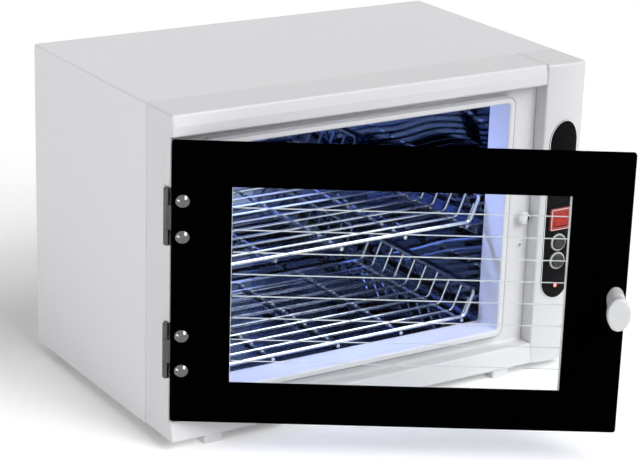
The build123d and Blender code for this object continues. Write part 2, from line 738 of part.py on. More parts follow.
def control_board():
    y0 = CREST + COLUMN_WALL + BOARD_STANDOFF
    x = BOARD_W / 2
    rear = y0 + BOARD_T
    board = box(COLUMN_MID - x, COLUMN_MID + x, y0, rear, FLOOR + BOARD_BOTTOM, FLOOR + BOARD_TOP)
    for height in BUTTON_Z.values():
        z = FLOOR + height
        half = TACT_W / 2
        board += box(COLUMN_MID - half, COLUMN_MID + half, y0 - half, y0, z - half, z + half)
    relay_z = FLOOR + (BOARD_BOTTOM + BOARD_TOP) / 2
    relay = run_back(Pos(COLUMN_MID, relay_z) * Rectangle(RELAY_W, RELAY_H), rear, rear + RELAY_D)
    return board + relay


# Door glass: ground edges and drilled holes, with the printed border fired on its inner face
def glass_outline(inset, radius):
    return Pos((GLASS_LEFT + GLASS_RIGHT) / 2, GLASS_MID) * RectangleRounded(
        GLASS_RIGHT - GLASS_LEFT - 2 * inset, GLASS_HIGH - GLASS_LOW - 2 * inset, radius
    )


def door_holes(y0, y1):
    hole = SCREW_D / 2 + SCREW_CLEAR
    cut = rod_y(KNOB_X, KNOB_Z, KNOB_SCREW_D / 2 + SCREW_CLEAR, y0, y1)
    for x, z in screw_places(SCREW_SPREAD):
        cut += rod_y(x, z, hole, y0, y1)
    return cut


def door_glass():
    pane = run_back(glass_outline(0, GLASS_R), GLASS_FACE, PRINT_FACE)
    faces = pane.edges().group_by(Axis.Y)
    pane = chamfer(faces[0] + faces[-1], GLASS_ARRIS)
    return opened(pane - door_holes(GLASS_FACE - 1, PRINT_FACE + 1))


def window_outline():
    x0 = GLASS_LEFT + WINDOW_SIDE
    x1 = GLASS_RIGHT - WINDOW_SIDE
    return rect(x0, x1, GLASS_LOW + WINDOW_BOTTOM, GLASS_HIGH - WINDOW_TOP)


def door_print():
    border = glass_outline(PRINT_INSET, GLASS_R) - window_outline()
    film = run_back(border, PRINT_FACE, LEAF_FACE)
    return opened(film - door_holes(PRINT_FACE - 1, LEAF_FACE + 1))


# Butt hinges: the case leaf has the outer knuckles and the door leaf the middle one
def knuckle(z0, z1):
    ring = Pos(PIN_X, PIN_Y) * (Circle(BARREL_R) - Circle(PIN_R + PIN_FIT))
    return run_up(ring, z0, z1)


def leaf_plate(y0, x0, z0, z1):
    return box(x0, PIN_X + LEAF_W, y0, y0 + LEAF_T, z0, z1)


def hinge_leaf(y_leaf, z_mid, middle):
    half = HINGE_H / 2
    split = KNUCKLE_MID / 2
    clear = PIN_X + BARREL_R + BARREL_CLEAR
    bands = [(-split, split)] if middle else [(-half, -split - KNUCKLE_GAP), (split + KNUCKLE_GAP, half)]
    leaf = leaf_plate(y_leaf, clear, z_mid - half, z_mid + half)
    leaf = fillet(leaf.edges().filter_by(Axis.Y).group_by(Axis.X)[-1], LEAF_R)
    bore = run_up(Pos(PIN_X, PIN_Y) * Circle(PIN_R + PIN_FIT), z_mid - half - 1, z_mid + half + 1)
    for low, high in bands:
        leaf += leaf_plate(y_leaf, PIN_X, z_mid + low, z_mid + high)
        leaf += knuckle(z_mid + low, z_mid + high)
    return leaf - bore


def case_leaf(z_mid):
    leaf = hinge_leaf(SEAT_FACE - LEAF_T, z_mid, False)
    for x, z in screw_places(PAD_SCREW_SPREAD):
        if abs(z - z_mid) < HINGE_H / 2:
            leaf -= wood_screw_cone(x, z, PIN_FIT)
    return leaf


def door_leaf(z_mid):
    leaf = hinge_leaf(LEAF_FACE, z_mid, True)
    return opened(leaf - door_holes(LEAF_FACE - 1, LEAF_FACE + LEAF_T + 1))


def hinge_pin(z_mid):
    half = HINGE_H / 2
    head = KNUCKLE_GAP * 4
    pin = run_up(Pos(PIN_X, PIN_Y) * Circle(PIN_R), z_mid - half, z_mid + half)
    for end, way in ((half, 1), (-half, -1)):
        disc = Plane.XY.offset(z_mid + end) * Pos(PIN_X, PIN_Y) * Circle(BARREL_R)
        pin += extrude(disc, amount=way * head, taper=PIN_CAP_TAPER)
    return pin


def wood_screw_cone(x, z, extra):
    radius = WOOD_SCREW_D / 2 + extra
    head = WOOD_HEAD_D / 2 + extra
    y0 = SEAT_FACE - LEAF_T
    end = WOOD_SCREW_L
    outline = make_face(Polyline((0, 0), (head, 0), (radius, LEAF_T), (radius, end), (0, end), close=True))
    screw = revolve(Plane.XZ * outline, Axis.Z)
    return Pos(x, y0, z) * Rot(-90, 0, 0) * screw


def hinge_case_screws():
    return Compound([wood_screw_cone(x, z, 0) for x, z in screw_places(PAD_SCREW_SPREAD)])


# Door screws: polished domes on the glass, shanks through glass and leaf, nuts behind
def dome_screw(x, z, face):
    head = Pos(x, face, z) * Rot(90, 0, 0) * dome(SCREW_HEAD_D / 2, SCREW_HEAD_H, SCREW_HEAD_EDGE)
    slot_y = face - SCREW_HEAD_H
    half = SCREW_SLOT_L / 2
    wide = SCREW_SLOT_W / 2
    return head - box(x - wide, x + wide, slot_y - 1, slot_y + SCREW_SLOT_DEPTH, z - half, z + half)


def hinge_door_screws():
    rear = LEAF_FACE + LEAF_T + NUT_T
    screws = []
    for x, z in screw_places(SCREW_SPREAD):
        screw = dome_screw(x, z, GLASS_FACE) + rod_y(x, z, SCREW_D / 2, GLASS_FACE, rear)
        screws.append(opened(screw))
    return Compound(screws)


def hinge_door_nuts():
    y0 = LEAF_FACE + LEAF_T
    nuts = []
    for x, z in screw_places(SCREW_SPREAD):
        hexagon = Pos(x, z) * RegularPolygon(NUT_AF / 2, 6, major_radius=False)
        hexagon -= Pos(x, z) * Circle(SCREW_D / 2 + PIN_FIT)
        nuts.append(opened(run_back(hexagon, y0, y0 + NUT_T)))
    return Compound(nuts)


# Knob: a stem that widens to an oval cap set a little lower than its base
def oval(width, height):
    """An upright oval of four arcs, tight at top and bottom and long at the sides."""
    a = height / 2
    b = width / 2
    tight = KNOB_TIGHT * width
    wide = ((a - tight) ** 2 + b**2 - tight**2) / (2 * (b - tight))
    x = tight * (wide - b) / (wide - tight)
    z = (a - tight) * wide / (wide - tight)
    top = ThreePointArc((-x, z), (0, a), (x, z))
    right = ThreePointArc((x, z), (b, 0), (x, -z))
    low = ThreePointArc((x, -z), (0, -a), (-x, -z))
    left = ThreePointArc((-x, -z), (-b, 0), (-x, z))
    return make_face(top + right + low + left)


def knob_section(width, height, drop, reach):
    plane = Plane(origin=(KNOB_X, GLASS_FACE - reach, KNOB_Z - drop), x_dir=(1, 0, 0), z_dir=(0, -1, 0))
    return plane * oval(width, height)


def door_knob():
    neck = KNOB_REACH - KNOB_CAP_T
    foot = knob_section(KNOB_BASE_W, KNOB_BASE_H, 0, 0)
    seat = knob_section(KNOB_CAP_W * KNOB_FLARE, KNOB_CAP_H * KNOB_FLARE, KNOB_DROP, neck)
    stem = loft([foot, seat], ruled=True)
    cap = extrude(knob_section(KNOB_CAP_W, KNOB_CAP_H, KNOB_DROP, neck), amount=KNOB_CAP_T)
    cap = fillet(cap.edges().group_by(Axis.Y)[0], KNOB_CAP_EDGE)
    bore = rod_y(KNOB_X, KNOB_Z, KNOB_SCREW_D / 2 + PIN_FIT, GLASS_FACE - KNOB_SCREW_DEPTH, GLASS_FACE + 1)
    return opened(stem + cap - bore)


def strike_plate():
    disc = rod_y(KNOB_X, KNOB_Z, STRIKE_D / 2, LEAF_FACE, STRIKE_FACE)
    disc = chamfer(disc.edges().group_by(Axis.Y)[-1], STRIKE_EDGE)
    return opened(disc - knob_screw_shape(PIN_FIT))


def knob_screw_shape(extra):
    radius = KNOB_SCREW_D / 2 + extra
    head = KNOB_SCREW_HEAD / 2 + extra
    end = STRIKE_FACE - GLASS_FACE + KNOB_SCREW_L
    points = [(0, 0), (head, 0), (radius, KNOB_SCREW_SINK), (radius, end), (0, end)]
    outline = make_face(Polyline(*points, close=True))
    return Pos(KNOB_X, STRIKE_FACE, KNOB_Z) * Rot(90, 0, 0) * revolve(Plane.XZ * outline, Axis.Z)


def knob_screw():
    return opened(knob_screw_shape(0))


def catch_cup():
    front = STRIKE_FACE + MAGNET_GAP + CATCH_CUP_SETBACK
    cup = rod_y(KNOB_X, KNOB_Z, MAGNET_D / 2 + CATCH_CUP_T - PIN_FIT, front, RECESS + CATCH_DEPTH)
    cup = chamfer(cup.edges().group_by(Axis.Y)[0], CATCH_CUP_T / 2)
    flange = rod_y(KNOB_X, KNOB_Z, MAGNET_D / 2 + 2 * CATCH_CUP_T, RECESS - CATCH_RIM_T, RECESS)
    flange &= box(LEFT, COLUMN_LEFT - JOINT_GAP, RECESS - 2, RECESS, FLOOR, ROOF)
    return cup + flange - rod_y(KNOB_X, KNOB_Z, MAGNET_D / 2, front - 1, RECESS + CATCH_DEPTH - CATCH_FLOOR_T)


def catch_magnet():
    front = STRIKE_FACE + MAGNET_GAP
    return rod_y(KNOB_X, KNOB_Z, MAGNET_D / 2 - PIN_FIT, front, RECESS + CATCH_DEPTH - CATCH_FLOOR_T)


# Chamber liner: a mirror-finished steel box, open in front, its flange against the moulding
def chamber_liner():
    outer = opening_outline(LINER_T, OPEN_R + LINER_T)
    inner = opening_outline(0, OPEN_R)
    liner = run_back(outer, TUNNEL_END, CHAMBER_BACK + LINER_T)
    liner += run_back(opening_outline(LINER_FLANGE, OPEN_R + LINER_FLANGE), TUNNEL_END, TUNNEL_END + LINER_T)
    return liner - run_back(inner, TUNNEL_END - 1, CHAMBER_BACK)


def liner_support(side):
    top = OPEN_BOTTOM - LINER_T
    half = SUPPORT_W / 2
    x = OPEN_MID + side * (CHAMBER_W / 2 - SUPPORT_FROM_WALL)
    y0 = TUNNEL_END + 2 * LINER_T + SPIGOT_L + SUPPORT_FOOT
    hat = rect(x - half, x + half, BASE_TOP, top)
    hat -= rect(x - half + SUPPORT_T, x + half - SUPPORT_T, BASE_TOP, top - SUPPORT_T)
    hat += rect(x - half - SUPPORT_FOOT, x - half + SUPPORT_T, BASE_TOP, BASE_TOP + SUPPORT_T)
    hat += rect(x + half - SUPPORT_T, x + half + SUPPORT_FOOT, BASE_TOP, BASE_TOP + SUPPORT_T)
    return run_back(hat, y0, y0 + SUPPORT_L)


# Wire baskets: a thick wire loop stands on ribs, with thin hoops hung between its rims
def basket_depths():
    near = TUNNEL_END + BASKET_FRONT + FRAME_WIRE / 2
    far = CHAMBER_BACK - BASKET_BACK - FRAME_WIRE / 2
    return near, far


def rim_half():
    return (OPEN_RIGHT - OPEN_LEFT) / 2 - BASKET_GAP - FRAME_WIRE / 2


def basket_seat(lift):
    return OPEN_BOTTOM + lift + BASKET_STAND + RIB_WIRE


def wire_section(thickness):
    return RegularPolygon(thickness / 2, WIRE_FLATS, major_radius=False, rotation=180 / WIRE_FLATS)


def wire(points, thickness):
    """Wire of eight flats, bent at each inner point in two short steps."""
    spots = [Vector(*p) for p in points]
    route = [spots[0]]
    for before, corner, after in zip(spots, spots[1:], spots[2:]):
        back = (before - corner).normalized()
        on = (after - corner).normalized()
        half_turn = (pi - radians(back.get_angle(on))) / 2
        run = BASKET_BEND_R * tan(half_turn)
        cut = BASKET_BEND_R * (1 / cos(half_turn) - 1)
        route += [corner + back * run, corner + (back + on).normalized() * cut, corner + on * run]
    path = Polyline(*route, spots[-1])
    start = Plane(origin=path @ 0, z_dir=path % 0)
    return sweep(start * wire_section(thickness), path=path, transition=Transition.RIGHT)


def basket_frame(lift):
    """Four like quarters: each runs from the floor's middle up the side and along the rim."""
    near, far = basket_depths()
    middle = (near + far) / 2
    z_floor = basket_seat(lift) + FRAME_WIRE / 2
    z_rim = z_floor + BASKET_H
    foot = OPEN_MID + rim_half() - BASKET_FLARE
    rim = OPEN_MID + rim_half()
    points = [(OPEN_MID, near, z_floor), (foot, near, z_floor), (rim, near, z_rim), (rim, middle, z_rim)]
    quarter = wire(points, FRAME_WIRE)
    half = quarter + mirror(quarter, Plane.YZ.offset(OPEN_MID))
    return half + mirror(half, Plane.XZ.offset(-middle))


def basket_hoop(lift, y, short):
    """A thin hoop at depth y that stops short of the rim wire's middle line."""
    z_floor = basket_seat(lift) + CROSS_WIRE / 2
    z_rim = basket_seat(lift) + FRAME_WIRE / 2 + BASKET_H
    slope = BASKET_FLARE / BASKET_H
    drop = short * cos(atan(slope))
    foot = rim_half() - slope * (z_rim - z_floor)
    tip = rim_half() - slope * drop
    shape = [(-tip, z_rim - drop), (-foot, z_floor), (foot, z_floor), (tip, z_rim - drop)]
    return wire([(OPEN_MID + x, y, z) for x, z in shape], CROSS_WIRE)


def basket_hoops(lift):
    near, far = basket_depths()
    pitch = (far - near) / (CROSS_COUNT + 1)
    beside = near + (FRAME_WIRE + CROSS_WIRE) / 2
    hoops = [basket_hoop(lift, beside, 2 * BASKET_BEND_R)]
    for n in range(CROSS_COUNT):
        hoops.append(basket_hoop(lift, near + (n + 1) * pitch, FRAME_WIRE / 2))
    return Compound(hoops)


def basket_ribs(lift):
    near, far = basket_depths()
    reach = rim_half() - BASKET_FLARE - RIB_INSET
    z = basket_seat(lift) - RIB_WIRE / 2
    ribs = []
    for n in range(RIB_COUNT):
        x = OPEN_MID - reach + n * 2 * reach / (RIB_COUNT - 1)
        ribs.append(run_back(Pos(x, z) * wire_section(RIB_WIRE), near - FRAME_WIRE / 2, far + FRAME_WIRE / 2))
    return Compound(ribs)


def basket_rail(side):
    near, far = basket_depths()
    top = OPEN_BOTTOM + BASKET_LIFTS["upper"]
    y0 = (near + far) / 2 - RAIL_L / 2
    wall = OPEN_MID + side * (OPEN_RIGHT - OPEN_LEFT) / 2
    ledge = wall - side * RAIL_W
    web = wall - side * RAIL_T
    rail = rect(min(wall, ledge), max(wall, ledge), top - RAIL_T, top)
    rail += rect(min(wall, web), max(wall, web), top - RAIL_H, top)
    return run_back(rail, y0, y0 + RAIL_L)


# Lamp, its end caps, holders and reflector under the chamber's roof
def lamp_axis():
    return TUNNEL_END + LAMP_FROM_FRONT, OPEN_TOP - LAMP_DROP


def uv_lamp():
    y, z = lamp_axis()
    return run_right(Pos(y, z) * Circle(TUBE_D / 2), OPEN_MID - TUBE_L / 2, OPEN_MID + TUBE_L / 2)


def lamp_cap(side):
    y, z = lamp_axis()
    x0 = OPEN_MID + side * TUBE_L / 2
    x1 = x0 + side * CAP_L
    x2 = x1 + side * PIN_LENGTH
    cap = run_right(Pos(y, z) * Circle(CAP_D / 2), min(x0, x1), max(x0, x1))
    for way in (-1, 1):
        pin = Pos(y + way * LAMP_PIN_PITCH / 2, z) * Circle(LAMP_PIN_D / 2)
        cap += run_right(pin, min(x1, x2), max(x1, x2))
    return cap


def lamp_holder(side):
    y, z = lamp_axis()
    half = HOLDER_W / 2
    x0 = OPEN_MID + side * (TUBE_L / 2 + CAP_L)
    x1 = x0 + side * HOLDER_T
    outline = rect(y - half, y + half, z, OPEN_TOP - REFLECTOR_T) + Pos(y, z) * Circle(half)
    holder = run_right(outline, min(x0, x1), max(x0, x1))
    for way in (-1, 1):
        slot = Pos(y + way * LAMP_PIN_PITCH / 2, z) * Circle(LAMP_PIN_D / 2 + PIN_FIT)
        x2 = x0 + side * (PIN_LENGTH + PIN_FIT)
        holder -= run_right(slot, min(x0, x2), max(x0, x2))
    return holder


def lamp_reflector():
    y, z = lamp_axis()
    half = REFLECTOR_W / 2
    flat = REFLECTOR_FLAT / 2
    t = REFLECTOR_T
    low = OPEN_TOP - REFLECTOR_FALL
    outline = make_face(
        Polyline(
            (y - half, low),
            (y - flat, OPEN_TOP),
            (y + flat, OPEN_TOP),
            (y + half, low),
            (y + half - t, low),
            (y + flat - t / 2, OPEN_TOP - t),
            (y - flat + t / 2, OPEN_TOP - t),
            (y - half + t, low),
            close=True,
        )
    )
    reach = TUBE_L / 2 + CAP_L + HOLDER_T + REFLECTOR_REACH
    return run_right(outline, OPEN_MID - reach, OPEN_MID + reach)


# Electrical bay between the chamber and the case's right side
def bay_mid():
    return (OPEN_RIGHT + LINER_T + RIGHT - STEEL) / 2


def ballast():
    x = bay_mid()
    y1 = BACK - REAR_FOOT_SETBACK - FOOT_RIVET_HEAD / 2 - BAY_GAP - BALLAST_FOOT
    y0 = y1 - BALLAST_L
    core = box(x - BALLAST_W / 2, x + BALLAST_W / 2, y0, y1, BASE_TOP, BASE_TOP + BALLAST_H)
    core = chamfer(core.edges().filter_by(Axis.Y).group_by(Axis.Z)[-1], BALLAST_EDGE)
    foot = SlotOverall(BALLAST_L + 2 * BALLAST_FOOT, BALLAST_W * BALLAST_FOOT_SHARE, rotation=90)
    feet = Pos(x, (y0 + y1) / 2) * foot
    for y in (y0 - BALLAST_FOOT / 2, y1 + BALLAST_FOOT / 2):
        feet -= Pos(x, y) * Circle(SCREW_D / 2)
    return core + run_up(feet, BASE_TOP, BASE_TOP + BALLAST_FOOT_T)


def starter_place():
    return bay_mid(), SEAM + SPIGOT_L + BAY_GAP + STARTER_BASE / 2


def starter_socket():
    x, y = starter_place()
    top = BASE_TOP + STARTER_BASE_H
    block = run_up(Pos(x, y) * RectangleRounded(STARTER_BASE, STARTER_BASE, STARTER_BASE_R), BASE_TOP, top)
    return block - run_up(Pos(x, y) * Circle(STARTER_D / 2 + PIN_FIT), BASE_TOP + STARTER_SEAT, top)


def starter():
    x, y = starter_place()
    low = BASE_TOP + STARTER_SEAT
    can = run_up(Pos(x, y) * Circle(STARTER_D / 2), low, low + STARTER_L)
    return chamfer(can.edges().group_by(Axis.Z)[-1], STARTER_EDGE)


def inlet_x():
    return RIGHT - INLET_FROM_RIGHT


def mains_inlet():
    x = inlet_x()
    z = FLOOR + INLET_Z
    flange = Pos(x, z) * RectangleRounded(INLET_W + 2 * INLET_FLANGE, INLET_H + INLET_FLANGE, INLET_R)
    body = run_back(flange, BACK, BACK + INLET_FLANGE_T)
    body += box(x - INLET_W / 2, x + INLET_W / 2, BACK - INLET_DEPTH, BACK, z - INLET_H / 2, z + INLET_H / 2)
    mouth = Pos(x, z) * SlotOverall(INLET_MOUTH_W, INLET_MOUTH_H)
    return body - run_back(mouth, BACK - INLET_DEPTH + INLET_WALL, BACK + INLET_FLANGE_T + 1)


def inlet_pins():
    z = FLOOR + INLET_Z
    pins = []
    for side in (-1, 1):
        x = inlet_x() + side * INLET_PIN_PITCH / 2
        pin = rod_y(x, z, INLET_PIN_D / 2, BACK - INLET_DEPTH + INLET_WALL, BACK - 1)
        pins.append(chamfer(pin.edges().group_by(Axis.Y)[-1], INLET_PIN_D / 4))
    return Compound(pins)


def single_nodes():
    return {
        "case_shell": case_shell(),
        "base_plate": base_plate(),
        "back_panel": back_panel(),
        "panel_screws": panel_screws(),
        "base_screws": base_screws(),
        "foot_rivets": foot_rivets(),
        "front_bezel": front_bezel(),
        "control_column": control_column(),
        "control_overlay": control_overlay(),
        "rocker_frame": rocker_frame(),
        "rocker_switch": rocker_switch(),
        "rocker_pivot": rocker_pivot(),
        "power_lamp": power_lamp(),
        "control_board": control_board(),
        "door_glass": door_glass(),
        "door_print": door_print(),
        "hinge_case_screws": hinge_case_screws(),
        "hinge_door_screws": hinge_door_screws(),
        "hinge_door_nuts": hinge_door_nuts(),
        "door_knob": door_knob(),
        "knob_screw": knob_screw(),
        "strike_plate": strike_plate(),
        "catch_cup": catch_cup(),
        "catch_magnet": catch_magnet(),
        "chamber_liner": chamber_liner(),
        "uv_lamp": uv_lamp(),
        "lamp_reflector": lamp_reflector(),
        "ballast": ballast(),
        "starter_socket": starter_socket(),
        "starter": starter(),
        "mains_inlet": mains_inlet(),
        "inlet_pins": inlet_pins(),
    }


def paired_nodes():
    pairs = {}
    for level, z_mid in hinge_heights().items():
        pairs[f"hinge_case_leaf_{level}"] = case_leaf(z_mid)
        pairs[f"hinge_door_leaf_{level}"] = door_leaf(z_mid)
        pairs[f"hinge_pin_{level}"] = hinge_pin(z_mid)
    for level, height in BUTTON_Z.items():
        pairs[f"button_{level}"] = push_button(height)
        pairs[f"button_ring_{level}"] = button_ring(height)
    for level, lift in BASKET_LIFTS.items():
        pairs[f"{level}_basket_frame"] = basket_frame(lift)
        pairs[f"{level}_basket_hoops"] = basket_hoops(lift)
        pairs[f"{level}_basket_ribs"] = basket_ribs(lift)
    for name, (x, y) in rear_foot_places().items():
        pairs[f"rear_foot_{name}"] = rear_foot(x, y)
    for name, side in (("left", -1), ("right", 1)):
        pairs[f"liner_support_{name}"] = liner_support(side)
        pairs[f"basket_rail_{name}"] = basket_rail(side)
        pairs[f"lamp_cap_{name}"] = lamp_cap(side)
        pairs[f"lamp_holder_{name}"] = lamp_holder(side)
    return pairs


os.makedirs("parts", exist_ok=True)
for name, solid in {**single_nodes(), **paired_nodes()}.items():
    export_step(solid, f"parts/{name}.step")
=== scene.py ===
import json
import math

import bmesh
import bpy
from mathutils import Matrix, Vector


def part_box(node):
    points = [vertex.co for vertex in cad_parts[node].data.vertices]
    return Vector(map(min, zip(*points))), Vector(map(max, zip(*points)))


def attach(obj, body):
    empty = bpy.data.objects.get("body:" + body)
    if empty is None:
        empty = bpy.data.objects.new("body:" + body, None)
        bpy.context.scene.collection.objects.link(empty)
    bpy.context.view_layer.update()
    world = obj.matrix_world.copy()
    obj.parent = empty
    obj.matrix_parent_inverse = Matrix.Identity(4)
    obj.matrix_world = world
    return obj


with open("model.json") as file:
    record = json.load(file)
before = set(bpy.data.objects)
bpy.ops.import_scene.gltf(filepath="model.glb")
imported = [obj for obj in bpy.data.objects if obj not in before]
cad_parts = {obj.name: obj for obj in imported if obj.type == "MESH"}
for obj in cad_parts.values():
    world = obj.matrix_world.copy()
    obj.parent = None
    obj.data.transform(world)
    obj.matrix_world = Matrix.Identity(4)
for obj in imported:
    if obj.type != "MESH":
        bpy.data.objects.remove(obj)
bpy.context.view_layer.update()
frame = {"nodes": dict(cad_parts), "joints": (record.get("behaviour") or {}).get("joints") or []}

# Case and back panel: one sheet of steel folded over the top and both sides, with
# a flat sheet closing the back. Both are powder-coated in a soft white with the
# fine orange peel of an oven-cured coat.


def new_finish(name, colour, rough, metal=0.0):
    finish = bpy.data.materials.new(name)
    finish.use_nodes = True
    shader = finish.node_tree.nodes["Principled BSDF"]
    shader.inputs["Base Color"].default_value = (*colour, 1.0)
    shader.inputs["Roughness"].default_value = rough
    shader.inputs["Metallic"].default_value = metal
    return finish, finish.node_tree.nodes, finish.node_tree.links, shader


def object_noise(nodes, links, per_metre, detail=3.0, stretch=(1.0, 1.0, 1.0)):
    place = nodes.new("ShaderNodeTexCoord")
    scaled = nodes.new("ShaderNodeMapping")
    scaled.inputs["Scale"].default_value = stretch
    noise = nodes.new("ShaderNodeTexNoise")
    noise.inputs["Scale"].default_value = per_metre
    noise.inputs["Detail"].default_value = detail
    links.new(place.outputs["Object"], scaled.inputs["Vector"])
    links.new(scaled.outputs["Vector"], noise.inputs["Vector"])
    return noise.outputs["Fac"]


def raise_surface(nodes, links, shader, height, strength, depth):
    bump = nodes.new("ShaderNodeBump")
    bump.inputs["Strength"].default_value = strength
    bump.inputs["Distance"].default_value = depth
    links.new(height, bump.inputs["Height"])
    links.new(bump.outputs["Normal"], shader.inputs["Normal"])
    return bump


def vary_value(nodes, links, source, low, high, socket):
    spread = nodes.new("ShaderNodeMapRange")
    spread.inputs["From Min"].default_value = 0.3
    spread.inputs["From Max"].default_value = 0.7
    spread.inputs["To Min"].default_value = low
    spread.inputs["To Max"].default_value = high
    links.new(source, spread.inputs["Value"])
    links.new(spread.outputs["Result"], socket)


def vary_colour(nodes, links, source, dark, light, socket):
    blend = nodes.new("ShaderNodeMix")
    blend.data_type = "RGBA"
    blend.inputs["A"].default_value = (*dark, 1.0)
    blend.inputs["B"].default_value = (*light, 1.0)
    links.new(source, blend.inputs["Factor"])
    links.new(blend.outputs["Result"], socket)


def dress(finish, *starts):
    """Gives a finish to every piece whose name begins with one of the starts."""
    for name, piece in frame["nodes"].items():
        if name.startswith(starts):
            for holder in piece.material_slots:
                holder.material = finish


case_paint, nodes, links, shader = new_finish("case_powder_coat", (0.72, 0.705, 0.73), 0.42)
shader.inputs["Specular IOR Level"].default_value = 0.3
peel = object_noise(nodes, links, 900.0, 2.0)
cloud = object_noise(nodes, links, 9.0, 4.0)
raise_surface(nodes, links, shader, peel, 0.10, 0.0002)
vary_value(nodes, links, cloud, 0.38, 0.47, shader.inputs["Roughness"])
vary_colour(nodes, links, cloud, (0.71, 0.695, 0.72), (0.73, 0.715, 0.74), shader.inputs["Base Color"])
dress(case_paint, "case_shell", "back_panel")

# Base plate and sheet-metal screws: zinc-plated steel, with the faint spangle and
# cool grey sheen of the plating. The screws are self-tapping with low domed heads.
zinc, nodes, links, shader = new_finish("zinc_plate", (0.60, 0.61, 0.62), 0.34, 1.0)
spangle = object_noise(nodes, links, 160.0, 5.0)
raise_surface(nodes, links, shader, spangle, 0.12, 0.0002)
vary_value(nodes, links, spangle, 0.26, 0.44, shader.inputs["Roughness"])
vary_colour(nodes, links, spangle, (0.52, 0.53, 0.55), (0.68, 0.69, 0.70), shader.inputs["Base Color"])
dress(zinc, "base_plate", "panel_screws", "base_screws", "foot_rivets", "liner_support")

# Rear feet: moulded black rubber, matt, with the dusty grey bloom that rubber
# gets on a bench. A rivet through each holds it to the base.
rubber, nodes, links, shader = new_finish("foot_rubber", (0.022, 0.022, 0.023), 0.82)
bloom = object_noise(nodes, links, 240.0, 6.0)
raise_surface(nodes, links, shader, bloom, 0.25, 0.0004)
vary_colour(nodes, links, bloom, (0.012, 0.012, 0.013), (0.045, 0.045, 0.046), shader.inputs["Base Color"])
dress(rubber, "rear_foot")

# Front moulding and control column: injection-moulded white ABS with a fine spark
# texture, a shade brighter than the painted case and slightly glossier.
white_abs, nodes, links, shader = new_finish("white_moulding", (0.65, 0.645, 0.665), 0.36)
shader.inputs["Specular IOR Level"].default_value = 0.35
spark = object_noise(nodes, links, 1500.0, 2.0)
flow = object_noise(nodes, links, 14.0, 3.0, (1.0, 1.0, 0.35))
raise_surface(nodes, links, shader, spark, 0.06, 0.0001)
vary_value(nodes, links, flow, 0.32, 0.42, shader.inputs["Roughness"])
vary_colour(nodes, links, flow, (0.64, 0.635, 0.655), (0.66, 0.655, 0.675), shader.inputs["Base Color"])
shader.inputs["Subsurface Weight"].default_value = 0.05
shader.inputs["Subsurface Radius"].default_value = (0.002, 0.002, 0.0022)
dress(white_abs, "front_bezel", "control_column")


def finish_piece(name, mesh_maker, finish, body):
    mesh = bpy.data.meshes.new(name)
    made = bmesh.new()
    mesh_maker(made)
    bmesh.ops.recalc_face_normals(made, faces=made.faces)
    made.to_mesh(mesh)
    made.free()
    mesh.materials.append(finish)
    piece = bpy.data.objects.new(name, mesh)
    bpy.context.collection.objects.link(piece)
    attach(piece, body)
    return piece


def prism(made, outline, low, high):
    """Stands an outline of X and Y points up from one height to another."""
    rings = [[made.verts.new((x, y, z)) for x, y in outline] for z in (low, high)]
    made.faces.new(rings[0])
    made.faces.new(rings[1])
    count = len(outline)
    for n in range(count):
        after = (n + 1) % count
        made.faces.new((rings[0][n], rings[0][after], rings[1][after], rings[1][n]))


# Side lip: the moulding's left wall comes forward beside the closed door as a thin
# lip with a rounded edge, and stops short of each hinge. It is one with the moulding.
case_low, case_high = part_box("case_shell")
moulding_reach = 0.0403
recess_depth = 0.0125
moulding_front = case_low[1] - moulding_reach
recess_face = moulding_front + recess_depth


def lip_section():
    outer = case_low[0] + 0.0002
    half_thick = 0.0008
    front = moulding_front + 0.0046
    back = recess_face + 0.001
    steps = 8
    points = []
    for n in range(steps + 1):
        turn = math.pi * n / steps
        points.append((outer + half_thick * (1 - math.cos(turn)), front + half_thick * (1 - math.sin(turn))))
    return points + [(outer + 2 * half_thick, back), (outer, back)]


def side_lip(made):
    hinge_gap = 0.0012
    chin_height = 0.0165
    visor_height = 0.016
    ends = [case_low[2] + chin_height]
    for level in ("lower", "upper"):
        leaf_low, leaf_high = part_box(f"hinge_case_leaf_{level}")
        ends += [leaf_low[2] - hinge_gap, leaf_high[2] + hinge_gap]
    ends.append(case_high[2] - visor_height)
    for low, high in zip(ends[::2], ends[1::2]):
        prism(made, lip_section(), low, high)


finish_piece("side_lip", side_lip, white_abs, "cabinet")

# Collar shade line: a fine grey band of painted shade laid over the rounded outer edge of the
# collar that stands round the chamber's mouth. It shows as a thin line all round the opening.
# The grey colour is painted shade, where the collar's outer edge turns away from the light.
collar_shade_grey, nodes, links, shader = new_finish("collar_shade_grey", (0.36, 0.36, 0.39), 0.5)
raise_surface(nodes, links, shader, object_noise(nodes, links, 1200.0), 0.08, 0.0001)
vary_value(nodes, links, object_noise(nodes, links, 60.0), 0.44, 0.56, shader.inputs["Roughness"])
liner_low, liner_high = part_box("chamber_liner")
liner_flange = 0.007


def closed_band(made, *loops):
    """A band with a closed section: each loop is joined to the next, and the last to the first."""
    rings = [[made.verts.new(point) for point in loop] for loop in loops]
    count = len(rings[0])
    for ring, following in zip(rings, rings[1:] + rings[:1]):
        for n in range(count):
            after = (n + 1) % count
            made.faces.new((ring[n], ring[after], following[after], following[n]))


def rounded_loop(sides, radius, y, steps):
    """Left, right, low and high sides as a loop of points at depth y, with rounded corners."""
    left, right, low, high = sides
    points = []
    corners = ((right, high, -1, -1), (left, high, 1, -1), (left, low, 1, 1), (right, low, -1, 1))
    for quarter, (x, z, in_x, in_z) in enumerate(corners):
        for n in range(steps + 1):
            turn = math.pi / 2 * (quarter + n / steps)
            points.append((x + radius * (in_x + math.cos(turn)), y, z + radius * (in_z + math.sin(turn))))
    return points


def mouth_loop(grow, radius, y):
    grow -= liner_flange
    sides = (liner_low[0] - grow, liner_high[0] + grow, liner_low[2] - grow, liner_high[2] + grow)
    return rounded_loop(sides, radius, y, 10)
